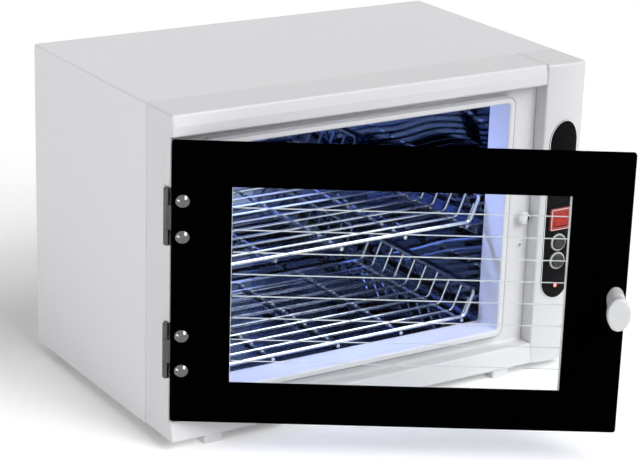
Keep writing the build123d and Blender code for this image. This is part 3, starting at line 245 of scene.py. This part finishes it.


# Draws the thin band of painted shade round the collar's outer edge.
def collar_shade_line(made):
    collar_width = 0.0062
    collar_height = 0.0065
    corner = 0.0085
    edge = 0.0018
    outside = 0.00005
    underside = 0.00001

    def around(stand):
        loops = []
        for degrees in (0.0, 15.0, 30.0, 45.0, 60.0):
            turn = math.radians(degrees)
            out = collar_width - edge + (edge + stand) * math.sin(turn)
            back = edge - (edge + stand) * math.cos(turn)
            loops.append(mouth_loop(out, corner - collar_width + out, recess_face - collar_height + back))
        return loops

    closed_band(made, *around(outside), *reversed(around(underside)))


finish_piece("collar_shade_line", collar_shade_line, collar_shade_grey, "cabinet")

# Control overlay: a polycarbonate sheet, printed black behind and stuck to the
# bowed column, with a hairline white border left round its edge.
overlay_black, nodes, links, shader = new_finish("overlay_black", (0.004, 0.004, 0.005), 0.22)
shader.inputs["Specular IOR Level"].default_value = 0.04
weave = object_noise(nodes, links, 2200.0, 2.0)
raise_surface(nodes, links, shader, weave, 0.08, 0.0001)
vary_value(nodes, links, object_noise(nodes, links, 60.0, 3.0), 0.18, 0.30, shader.inputs["Roughness"])
dress(overlay_black, "control_overlay")

print_white, nodes, links, shader = new_finish("printed_white", (0.80, 0.80, 0.81), 0.45)
ink = object_noise(nodes, links, 1800.0, 3.0)
raise_surface(nodes, links, shader, ink, 0.08, 0.0001)
vary_colour(nodes, links, ink, (0.74, 0.74, 0.75), (0.84, 0.84, 0.85), shader.inputs["Base Color"])

overlay_low, overlay_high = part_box("control_overlay")
column_low, column_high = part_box("control_column")
overlay_mid = (overlay_low[0] + overlay_high[0]) / 2
overlay_half = (overlay_high[0] - overlay_low[0]) / 2
column_half = (column_high[0] - column_low[0]) / 2
column_mid = (column_low[0] + column_high[0]) / 2
bow = 0.003
bow_radius = (column_half**2 + bow**2) / (2 * bow)


def on_bow(x, proud):
    """How far back the overlay's bowed face lies at x, less what stands proud of it."""
    return overlay_low[1] - proud + bow_radius - math.sqrt(bow_radius**2 - (x - column_mid) ** 2)


def overlay_edge_points(inset, proud):
    crown = 0.019
    half = overlay_half - inset
    points = []
    steps = 32
    for n in range(steps + 1):
        turn = math.pi * n / steps
        z = overlay_high[2] - crown + (crown - inset) * math.sin(turn)
        points.append((overlay_mid + half * math.cos(turn), z))
    for n in range(steps + 1):
        turn = math.pi + math.pi * n / steps
        z = overlay_low[2] + overlay_half + half * math.sin(turn)
        points.append((overlay_mid + half * math.cos(turn), z))
    return [(x, on_bow(x, proud), z) for x, z in points]


def overlay_border(made):
    inner = 0.0006
    outer = 0.00005
    stand = 0.00006
    sunk = -0.0002
    corners = ((inner, stand), (outer, stand), (outer, sunk), (inner, sunk))
    closed_band(made, *(overlay_edge_points(inset, proud) for inset, proud in corners))


finish_piece("overlay_border", overlay_border, print_white, "cabinet")

# Rocker switch: a snap-in frame of red plastic with a fine pale line along its edge,
# round a clear red rocker on a steel pin. It is lit from inside while the cabinet is on.
switch_frame, nodes, links, shader = new_finish("switch_frame", (0.30, 0.03, 0.025), 0.28)
raise_surface(nodes, links, shader, object_noise(nodes, links, 700.0), 0.05, 0.0001)
shader.inputs["Coat Weight"].default_value = 0.4
dress(switch_frame, "rocker_frame")

edge_pink, nodes, links, shader = new_finish("edge_pink", (0.80, 0.55, 0.53), 0.35)
raise_surface(nodes, links, shader, object_noise(nodes, links, 1400.0), 0.08, 0.0001)
vary_value(nodes, links, object_noise(nodes, links, 200.0), 0.30, 0.40, shader.inputs["Roughness"])
frame_low, frame_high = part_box("rocker_frame")


def switch_line(made):
    corner = 0.0016
    near, far = 0.0005, 0.0011
    face = frame_low[1]

    def loop(inset, y):
        sides = (frame_low[0] + inset, frame_high[0] - inset, frame_low[2] + inset, frame_high[2] - inset)
        return rounded_loop(sides, corner - inset, y, 6)

    front = face - 0.00004
    back = face + 0.00002
    closed_band(made, loop(far, front), loop(near, front), loop(near, back), loop(far, back))


finish_piece("switch_line", switch_line, edge_pink, "cabinet")

lit_red, nodes, links, shader = new_finish("switch_red", (0.26, 0.012, 0.008), 0.16)
shader.inputs["Specular IOR Level"].default_value = 0.25
bulb = object_noise(nodes, links, 420.0, 2.0)
vary_value(nodes, links, bulb, 0.0, 0.26, shader.inputs["Emission Strength"])
shader.inputs["Emission Color"].default_value = (1.0, 0.08, 0.04, 1.0)
shader.inputs["Coat Weight"].default_value = 0.15
raise_surface(nodes, links, shader, object_noise(nodes, links, 900.0), 0.05, 0.0001)
dress(lit_red, "rocker_switch")
dress(zinc, "rocker_pivot")

# Push-buttons: domed caps of black plastic, each in a thin white moulded sleeve that
# shows as a ring. The sleeves snap into the column and the caps press tactile switches.
button_ring, nodes, links, shader = new_finish("button_ring", (0.62, 0.62, 0.60), 0.4)
raise_surface(nodes, links, shader, object_noise(nodes, links, 800.0), 0.05, 0.0001)
dress(button_ring, "button_ring")
button_black, nodes, links, shader = new_finish("button_black", (0.010, 0.010, 0.011), 0.30)
raise_surface(nodes, links, shader, object_noise(nodes, links, 1200.0), 0.10, 0.0001)
vary_value(nodes, links, object_noise(nodes, links, 90.0), 0.24, 0.40, shader.inputs["Roughness"])
dress(button_black, "button_upper", "button_lower")

# Indicator: a 3 mm red lamp that is lit, moulded in clear red resin, with its round
# nose through the overlay and its legs in the control board.
lit_lamp, nodes, links, shader = new_finish("indicator_red", (0.85, 0.10, 0.08), 0.12)
vary_value(nodes, links, object_noise(nodes, links, 400.0), 1.2, 2.2, shader.inputs["Emission Strength"])
shader.inputs["Emission Color"].default_value = (1.0, 0.22, 0.18, 1.0)
dress(lit_lamp, "power_lamp")

# Control board: green glass-fibre board with its tactile switches and relay, hidden
# behind the column's front.
board_green, nodes, links, shader = new_finish("board_green", (0.02, 0.17, 0.06), 0.38)
fibre = object_noise(nodes, links, 1200.0, 4.0, (1.0, 1.0, 3.0))
vary_colour(nodes, links, fibre, (0.012, 0.13, 0.045), (0.03, 0.22, 0.08), shader.inputs["Base Color"])
raise_surface(nodes, links, shader, fibre, 0.1, 0.0001)
dress(board_green, "control_board")

# Chamber liner: thin stainless sheet with a mirror finish. Being thin it is never
# quite flat, so what it reflects runs in slow waves.
# The dark blue base colour is painted light: it stands in for the lamp's blue glow and the dark surroundings
# that the mirror reflects.
mirror_steel, nodes, links, shader = new_finish("mirror_steel", (0.20, 0.26, 0.39), 0.04, 1.0)
waves = object_noise(nodes, links, 9.0, 0.0, (1.0, 1.0, 1.6))
raise_surface(nodes, links, shader, waves, 0.5, 0.004)
smear = object_noise(nodes, links, 30.0, 5.0)
vary_value(nodes, links, smear, 0.02, 0.06, shader.inputs["Roughness"])
vary_colour(nodes, links, smear, (0.16, 0.21, 0.34), (0.24, 0.30, 0.44), shader.inputs["Base Color"])
dress(mirror_steel, "chamber_liner")

rail_steel, nodes, links, shader = new_finish("rail_steel", (0.42, 0.45, 0.52), 0.22, 1.0)
brushed = object_noise(nodes, links, 500.0, 3.0, (1.0, 0.04, 1.0))
raise_surface(nodes, links, shader, brushed, 0.15, 0.0001)
vary_value(nodes, links, brushed, 0.16, 0.32, shader.inputs["Roughness"])
dress(rail_steel, "basket_rail")

# Ultraviolet lamp: a short straight tube under a folded aluminium reflector, held at
# both ends in push-in holders. It is lit and glows blue violet.
tube_glass, nodes, links, shader = new_finish("tube_glow", (0.55, 0.55, 0.95), 0.10)
glow = object_noise(nodes, links, 20.0, 2.0)
vary_value(nodes, links, glow, 5.0, 7.0, shader.inputs["Emission Strength"])
shader.inputs["Emission Color"].default_value = (0.33, 0.42, 1.0, 1.0)
dress(tube_glass, "uv_lamp")

cap_aluminium, nodes, links, shader = new_finish("cap_aluminium", (0.72, 0.73, 0.74), 0.30, 1.0)
spun = object_noise(nodes, links, 700.0, 3.0, (0.1, 1.0, 1.0))
raise_surface(nodes, links, shader, spun, 0.12, 0.0001)
vary_value(nodes, links, spun, 0.22, 0.38, shader.inputs["Roughness"])
dress(cap_aluminium, "lamp_cap", "lamp_reflector")

holder_white, nodes, links, shader = new_finish("holder_white", (0.76, 0.76, 0.74), 0.5)
raise_surface(nodes, links, shader, object_noise(nodes, links, 900.0), 0.08, 0.0001)
vary_value(nodes, links, object_noise(nodes, links, 50.0), 0.42, 0.58, shader.inputs["Roughness"])
dress(holder_white, "lamp_holder", "starter")

# Wire baskets: drawn stainless wire, spot-welded and electropolished, so it is
# bright with a little unevenness along each length.
basket_wire, nodes, links, shader = new_finish("basket_wire", (0.60, 0.64, 0.69), 0.18, 1.0)
drawn = object_noise(nodes, links, 260.0, 4.0)
raise_surface(nodes, links, shader, drawn, 0.12, 0.0002)
vary_value(nodes, links, drawn, 0.12, 0.26, shader.inputs["Roughness"])
vary_colour(nodes, links, drawn, (0.52, 0.56, 0.61), (0.68, 0.72, 0.77), shader.inputs["Base Color"])
dress(basket_wire, "upper_basket", "lower_basket")

# Ballast and inlet: the lamp's choke is varnished iron laminations, and the mains
# inlet is black nylon with two plated round pins.
ballast_iron, nodes, links, shader = new_finish("ballast_varnish", (0.10, 0.085, 0.07), 0.45, 0.6)
sheets = object_noise(nodes, links, 700.0, 3.0, (1.0, 0.05, 1.0))
raise_surface(nodes, links, shader, sheets, 0.35, 0.0004)
vary_colour(nodes, links, sheets, (0.06, 0.05, 0.045), (0.16, 0.14, 0.12), shader.inputs["Base Color"])
dress(ballast_iron, "ballast")
inlet_nylon, nodes, links, shader = new_finish("inlet_nylon", (0.02, 0.02, 0.021), 0.48)
raise_surface(nodes, links, shader, object_noise(nodes, links, 1300.0), 0.12, 0.0001)
vary_value(nodes, links, object_noise(nodes, links, 70.0), 0.40, 0.56, shader.inputs["Roughness"])
dress(inlet_nylon, "mains_inlet")
pin_plate, nodes, links, shader = new_finish("pin_plate", (0.74, 0.66, 0.44), 0.22, 1.0)
raise_surface(nodes, links, shader, object_noise(nodes, links, 600.0), 0.08, 0.0001)
dress(pin_plate, "inlet_pins")

# Hinges and their screws: nickel-plated steel butts. The leaves are satin, and the
# domed screws through the pane are polished.
# The leaves' dark base colour is painted reflection: it stands in for dark surroundings that the nickel
# mirrors.
hinge_nickel_painted_dark, nodes, links, shader = new_finish("hinge_nickel_painted_dark", (0.10, 0.098, 0.095), 0.30, 1.0)
rubbed = object_noise(nodes, links, 420.0, 4.0, (1.0, 1.0, 0.12))
raise_surface(nodes, links, shader, rubbed, 0.14, 0.0001)
vary_value(nodes, links, rubbed, 0.20, 0.36, shader.inputs["Roughness"])
vary_colour(nodes, links, rubbed, (0.07, 0.068, 0.066), (0.14, 0.137, 0.134), shader.inputs["Base Color"])
dress(hinge_nickel_painted_dark, "hinge_case", "hinge_door_leaf", "hinge_door_nuts", "hinge_pin")

# The dark base colour is painted reflection: it stands in for dark surroundings that the chrome mirrors.
screw_chrome_painted_dark, nodes, links, shader = new_finish("screw_chrome_painted_dark", (0.15, 0.15, 0.155), 0.14, 1.0)
raise_surface(nodes, links, shader, object_noise(nodes, links, 500.0), 0.05, 0.0001)
vary_value(nodes, links, object_noise(nodes, links, 300.0), 0.09, 0.18, shader.inputs["Roughness"])
dress(screw_chrome_painted_dark, "hinge_door_screws", "knob_screw", "strike_plate")

# Door: a 4 mm toughened pane with ground edges. Its black border is fired on both
# faces and round the edge, and its back carries a pale line round the window, bold at
# the right and hair-thin elsewhere, and eight fine pale lines across it.
pane_glass, nodes, links, shader = new_finish("door_pane", (0.97, 0.99, 0.985), 0.0)
shader.inputs["Transmission Weight"].default_value = 1.0
shader.inputs["IOR"].default_value = 1.10
dress(pane_glass, "door_glass")
border_enamel, nodes, links, shader = new_finish("border_enamel", (0.0004, 0.0004, 0.0005), 0.45)
shader.inputs["Specular IOR Level"].default_value = 0.0
vary_value(nodes, links, object_noise(nodes, links, 40.0), 0.40, 0.52, shader.inputs["Roughness"])
dress(border_enamel, "door_print")

line_enamel, nodes, links, shader = new_finish("line_enamel", (0.55, 0.56, 0.58), 0.45)
speck = object_noise(nodes, links, 1600.0, 3.0)
raise_surface(nodes, links, shader, speck, 0.10, 0.0001)
vary_colour(nodes, links, speck, (0.50, 0.51, 0.53), (0.60, 0.61, 0.63), shader.inputs["Base Color"])

door_angle = math.radians(31.8)
pane_thick = 0.004
enamel_thick = 0.0002
window_side = 0.0427
window_bottom = 0.03085
window_top = 0.0331
pin_joint = [joint for joint in frame["joints"] if joint["name"] == "door_hinge"][0]
pin_place = Vector(pin_joint["pos_m"])
swing = Matrix.Translation(pin_place) @ Matrix.Rotation(-door_angle, 4, "Z") @ Matrix.Translation(-pin_place)
glass_left = pin_place.x + 0.0034
glass_right = column_low[0] - 0.0008
glass_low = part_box("door_glass")[0][2]
glass_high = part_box("door_glass")[1][2]
window_left = glass_left + window_side
window_right = glass_right - window_side
window_low = glass_low + window_bottom
window_high = glass_high - window_top
enamel_back = pin_place.y - 0.0027
enamel_front = enamel_back - enamel_thick
line_stand = 0.00002
line_front = enamel_front + line_stand
line_back = enamel_back - line_stand


def on_door(x, y, z):
    """A point of the shut door, where the open door holds it."""
    return swing @ Vector((x, y, z))


def window_line(made):
    wide = 0.0015
    edge = 0.00005
    other_sides = 0.25

    def loop(inset, y):
        narrow = inset * other_sides
        return [
            on_door(window_left + narrow, y, window_low + narrow),
            on_door(window_right - inset, y, window_low + narrow),
            on_door(window_right - inset, y, window_high - narrow),
            on_door(window_left + narrow, y, window_high - narrow),
        ]

    corners = ((wide, line_front), (edge, line_front), (edge, line_back), (wide, line_back))
    closed_band(made, *(loop(inset, y) for inset, y in corners))


def printed_lines(made):
    count = 8
    first = 0.0655
    pitch = 0.01664
    half = 0.0004
    end_gap = 0.0011
    sides = ((0, 1, 3, 2), (4, 6, 7, 5), (0, 4, 5, 1), (2, 3, 7, 6), (0, 2, 6, 4), (1, 5, 7, 3))
    for n in range(count):
        z = case_low[2] + first + n * pitch
        corners = [
            made.verts.new(on_door(x, y, level))
            for x in (window_left + end_gap, window_right - end_gap)
            for y in (line_front, line_back)
            for level in (z - half, z + half)
        ]
        for side in sides:
            made.faces.new([corners[place] for place in side])


def border_loop(sides, radius, y):
    """The pane's outline or the window's, swung open with the door."""
    return [on_door(*point) for point in rounded_loop(sides, radius, y, 6)]


def border_film(made):
    arris = 0.0008
    corner = 0.002
    hole_corner = 0.0002
    outside = 0.00006
    underside = 0.00001
    face = enamel_front - pane_thick
    hole = (window_left - 0.0003, window_right + 0.0003, window_low - 0.0002, window_high + 0.0004)

    def pane(grow):
        return glass_left - grow, glass_right + grow, glass_low - grow, glass_high + grow

    def side_of_film(off):
        return [
            border_loop(hole, hole_corner, face - off),
            border_loop(pane(-arris), corner - arris, face - off),
            border_loop(pane(off), corner + off, face + arris),
            border_loop(pane(off), corner + off, enamel_front - arris),
        ]

    closed_band(made, *side_of_film(outside), *reversed(side_of_film(underside)))


finish_piece("border_film", border_film, border_enamel, "door")
finish_piece("window_line", window_line, print_white, "door")
finish_piece("window_wires", printed_lines, line_enamel, "door")

# Knob: one glossy white moulding, waisted behind an oval cap, and held by a screw
# from behind the pane, through the steel strike plate that the catch pulls on.
knob_white, nodes, links, shader = new_finish("knob_white", (0.62, 0.625, 0.63), 0.24)
raise_surface(nodes, links, shader, object_noise(nodes, links, 600.0), 0.04, 0.0001)
vary_value(nodes, links, object_noise(nodes, links, 50.0), 0.20, 0.30, shader.inputs["Roughness"])
shader.inputs["Coat Weight"].default_value = 0.3
dress(knob_white, "door_knob")

# Catch: a round magnet in a white moulded cup behind the knob, pressed into the
# recess, with a small white pan-head screw below it.
dress(white_abs, "catch_cup")
magnet_white, nodes, links, shader = new_finish("magnet_white", (0.62, 0.62, 0.64), 0.38, 0.1)
raise_surface(nodes, links, shader, object_noise(nodes, links, 400.0), 0.15, 0.0002)
vary_value(nodes, links, object_noise(nodes, links, 300.0), 0.30, 0.50, shader.inputs["Roughness"])
dress(magnet_white, "catch_magnet")

cup_low, cup_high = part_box("catch_cup")
catch_x = (cup_low[0] + cup_high[0]) / 2
magnet_z = (cup_low[2] + cup_high[2]) / 2
catch_z = magnet_z - 0.023


# The crescent is painted shade: a black sliver standing in for the shaded inner wall of the cup beside the
# magnet.
def magnet_shade_crescent(made):
    """The dark crescent of painted shade at the magnet's right, widest in its middle."""
    magnet_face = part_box("catch_magnet")[0][1]
    front = magnet_face - 0.00005
    back = magnet_face + 0.0004
    inner_radius = 0.0033
    outer_radius = 0.0039
    swell = 0.0014
    start, sweep = -68.0, 126.0
    steps = 12

    def rim(y, radius, swing_in):
        ring = []
        for n in range(steps + 1):
            turn = math.radians(start + sweep * n / steps)
            out = radius - swing_in * math.sin(math.pi * n / steps)
            ring.append(made.verts.new((catch_x + out * math.cos(turn), y, magnet_z + out * math.sin(turn))))
        return ring

    inner, outer = rim(front, inner_radius, swell), rim(front, outer_radius, 0.0)
    inner_back, outer_back = rim(back, inner_radius, swell), rim(back, outer_radius, 0.0)
    for one, other in ((inner, outer), (outer, outer_back), (outer_back, inner_back), (inner_back, inner)):
        for n in range(steps):
            made.faces.new((one[n], one[n + 1], other[n + 1], other[n]))
    for n in (0, steps):
        made.faces.new((inner[n], outer[n], outer_back[n], inner_back[n]))


finish_piece("magnet_shade_crescent", magnet_shade_crescent, button_black, "cabinet")


def catch_screw_head(made):
    radius = 0.0025
    height = 0.0014
    around = 24
    rings = []
    for degrees in (0.0, 22.5, 45.0, 67.5):
        out = radius * math.cos(math.radians(degrees))
        y = recess_face - height * math.sin(math.radians(degrees))
        ring = []
        for n in range(around):
            turn = 2 * math.pi * n / around
            ring.append(made.verts.new((catch_x + out * math.cos(turn), y, catch_z + out * math.sin(turn))))
        rings.append(ring)
    for ring, following in zip(rings, rings[1:]):
        for n in range(around):
            after = (n + 1) % around
            made.faces.new((ring[n], ring[after], following[after], following[n]))
    made.faces.new(rings[0])
    made.faces.new(rings[-1])


# The dark cross is painted shade: a solid black cross, level with the head's crown, standing in for the
# shaded recess of the screw's cross slot.
def catch_screw_cross_shade(made):
    long = 0.0013
    wide = 0.0003
    front = recess_face - 0.00133
    for x, z in ((long, wide), (wide, long)):
        left, right = catch_x - x, catch_x + x
        outline = [(left, front), (right, front), (right, recess_face), (left, recess_face)]
        prism(made, outline, catch_z - z, catch_z + z)


finish_piece("catch_screw_head", catch_screw_head, white_abs, "cabinet")
finish_piece("catch_screw_cross_shade", catch_screw_cross_shade, button_black, "cabinet")

# Studio: a pale floor, a broad key light from above right, a lower one from ahead, a
# soft box to the left and an even pale surround. Floor and surround show white, and
# the lamp's own blue light leaves the floor out.
floor_white, nodes, links, shader = new_finish("floor_white", (0.98, 0.98, 0.98), 0.9)
shader.inputs["Specular IOR Level"].default_value = 0.0


def seen_directly(nodes, links):
    """1 on camera, mirror and see-through rays, and 0 on rays that only carry light."""
    sight = nodes.new("ShaderNodeLightPath")
    seen = sight.outputs["Is Camera Ray"]
    for other in ("Is Glossy Ray", "Is Transmission Ray"):
        either = nodes.new("ShaderNodeMath")
        either.operation = "MAXIMUM"
        links.new(seen, either.inputs[0])
        links.new(sight.outputs[other], either.inputs[1])
        seen = either.outputs["Value"]
    return seen


lift = nodes.new("ShaderNodeMath")
lift.operation = "MULTIPLY"
lift.inputs[1].default_value = 0.16
links.new(seen_directly(nodes, links), lift.inputs[0])
shader.inputs["Emission Color"].default_value = (1.0, 1.0, 1.0, 1.0)
links.new(lift.outputs["Value"], shader.inputs["Emission Strength"])

floor_mesh = bpy.data.meshes.new("studio_floor")
reach = 6.0
floor_corners = [(-reach, -reach, 0.0), (reach, -reach, 0.0), (reach, reach, 0.0), (-reach, reach, 0.0)]
floor_mesh.from_pydata(floor_corners, [], [(0, 1, 2, 3)])
floor_mesh.materials.append(floor_white)
studio_floor = bpy.data.objects.new("studio_floor", floor_mesh)
bpy.context.collection.objects.link(studio_floor)

surround = bpy.data.worlds.new("surround")
bpy.context.scene.world = surround
surround.use_nodes = True
nodes = surround.node_tree.nodes
links = surround.node_tree.links
backdrop = nodes["Background"]
backdrop.inputs["Color"].default_value = (1.0, 1.0, 1.0, 1.0)
level = nodes.new("ShaderNodeMapRange")
level.inputs["To Min"].default_value = 0.26
level.inputs["To Max"].default_value = 1.0
links.new(seen_directly(nodes, links), level.inputs["Value"])
links.new(level.outputs["Result"], backdrop.inputs["Strength"])


def broad_light(name, travel, strength):
    lamp = bpy.data.lights.new(name, "SUN")
    lamp.energy = strength
    lamp.angle = math.radians(34.0)
    holder = bpy.data.objects.new(name, lamp)
    bpy.context.collection.objects.link(holder)
    holder.rotation_mode = "QUATERNION"
    holder.rotation_quaternion = Vector(travel).to_track_quat("-Z", "Y")


broad_light("key_light", (-0.45, 0.62, -0.95), 1.22)
broad_light("front_light", (-0.2, 0.9, -0.6), 1.75)


def soft_box(name, place, aim, wide, high, watts, colour=(1.0, 1.0, 1.0)):
    lamp = bpy.data.lights.new(name, "AREA")
    lamp.shape = "RECTANGLE"
    lamp.size = wide
    lamp.size_y = high
    lamp.energy = watts
    lamp.color = colour
    holder = bpy.data.objects.new(name, lamp)
    bpy.context.collection.objects.link(holder)
    holder.location = place
    holder.rotation_mode = "QUATERNION"
    holder.rotation_quaternion = (Vector(aim) - Vector(place)).to_track_quat("-Z", "Y")
    holder.visible_camera = False
    return holder


soft_box("side_light", (-2.0, -0.1, 0.28), (0.0, 0.0, 0.14), 1.2, 0.5, 11.0)

tube_low, tube_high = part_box("uv_lamp")
tube_mid = (Vector(tube_low) + Vector(tube_high)) / 2
tube_light = soft_box(
    "tube_light",
    tube_mid + Vector((0.0, -0.012, -0.012)),
    tube_mid + Vector((0.0, -0.10, -0.10)),
    tube_high[0] - tube_low[0],
    0.015,
    0.5,
    (0.33, 0.45, 1.0),
)
tube_light.visible_glossy = False
left_out = bpy.data.collections.new("left_out_by_tube_light")
left_out.objects.link(studio_floor)
tube_light.light_linking.receiver_collection = left_out
left_out.collection_objects[0].light_linking.link_state = "EXCLUDE"

# Camera: a long lens at the photograph's place, to the left, above and ahead, with
# the turn and distance that a camera fitted to the photograph's edges gives.
eye = bpy.data.cameras.new("camera")
eye.sensor_width = 36.0
eye.lens = 120.4
eye.clip_start = 0.05
eye.clip_end = 50.0
camera = bpy.data.objects.new("camera", eye)
bpy.context.collection.objects.link(camera)
turn = Matrix(
    ((0.84738, 0.14765, -0.51004), (-0.53012, 0.28990, -0.79682), (0.03021, 0.94560, 0.32393))
)
camera.matrix_world = Matrix.Translation((-0.8651, -1.27863, 0.66436)) @ turn.to_4x4()
bpy.context.scene.camera = camera
bpy.context.scene.view_settings.view_transform = "Standard"
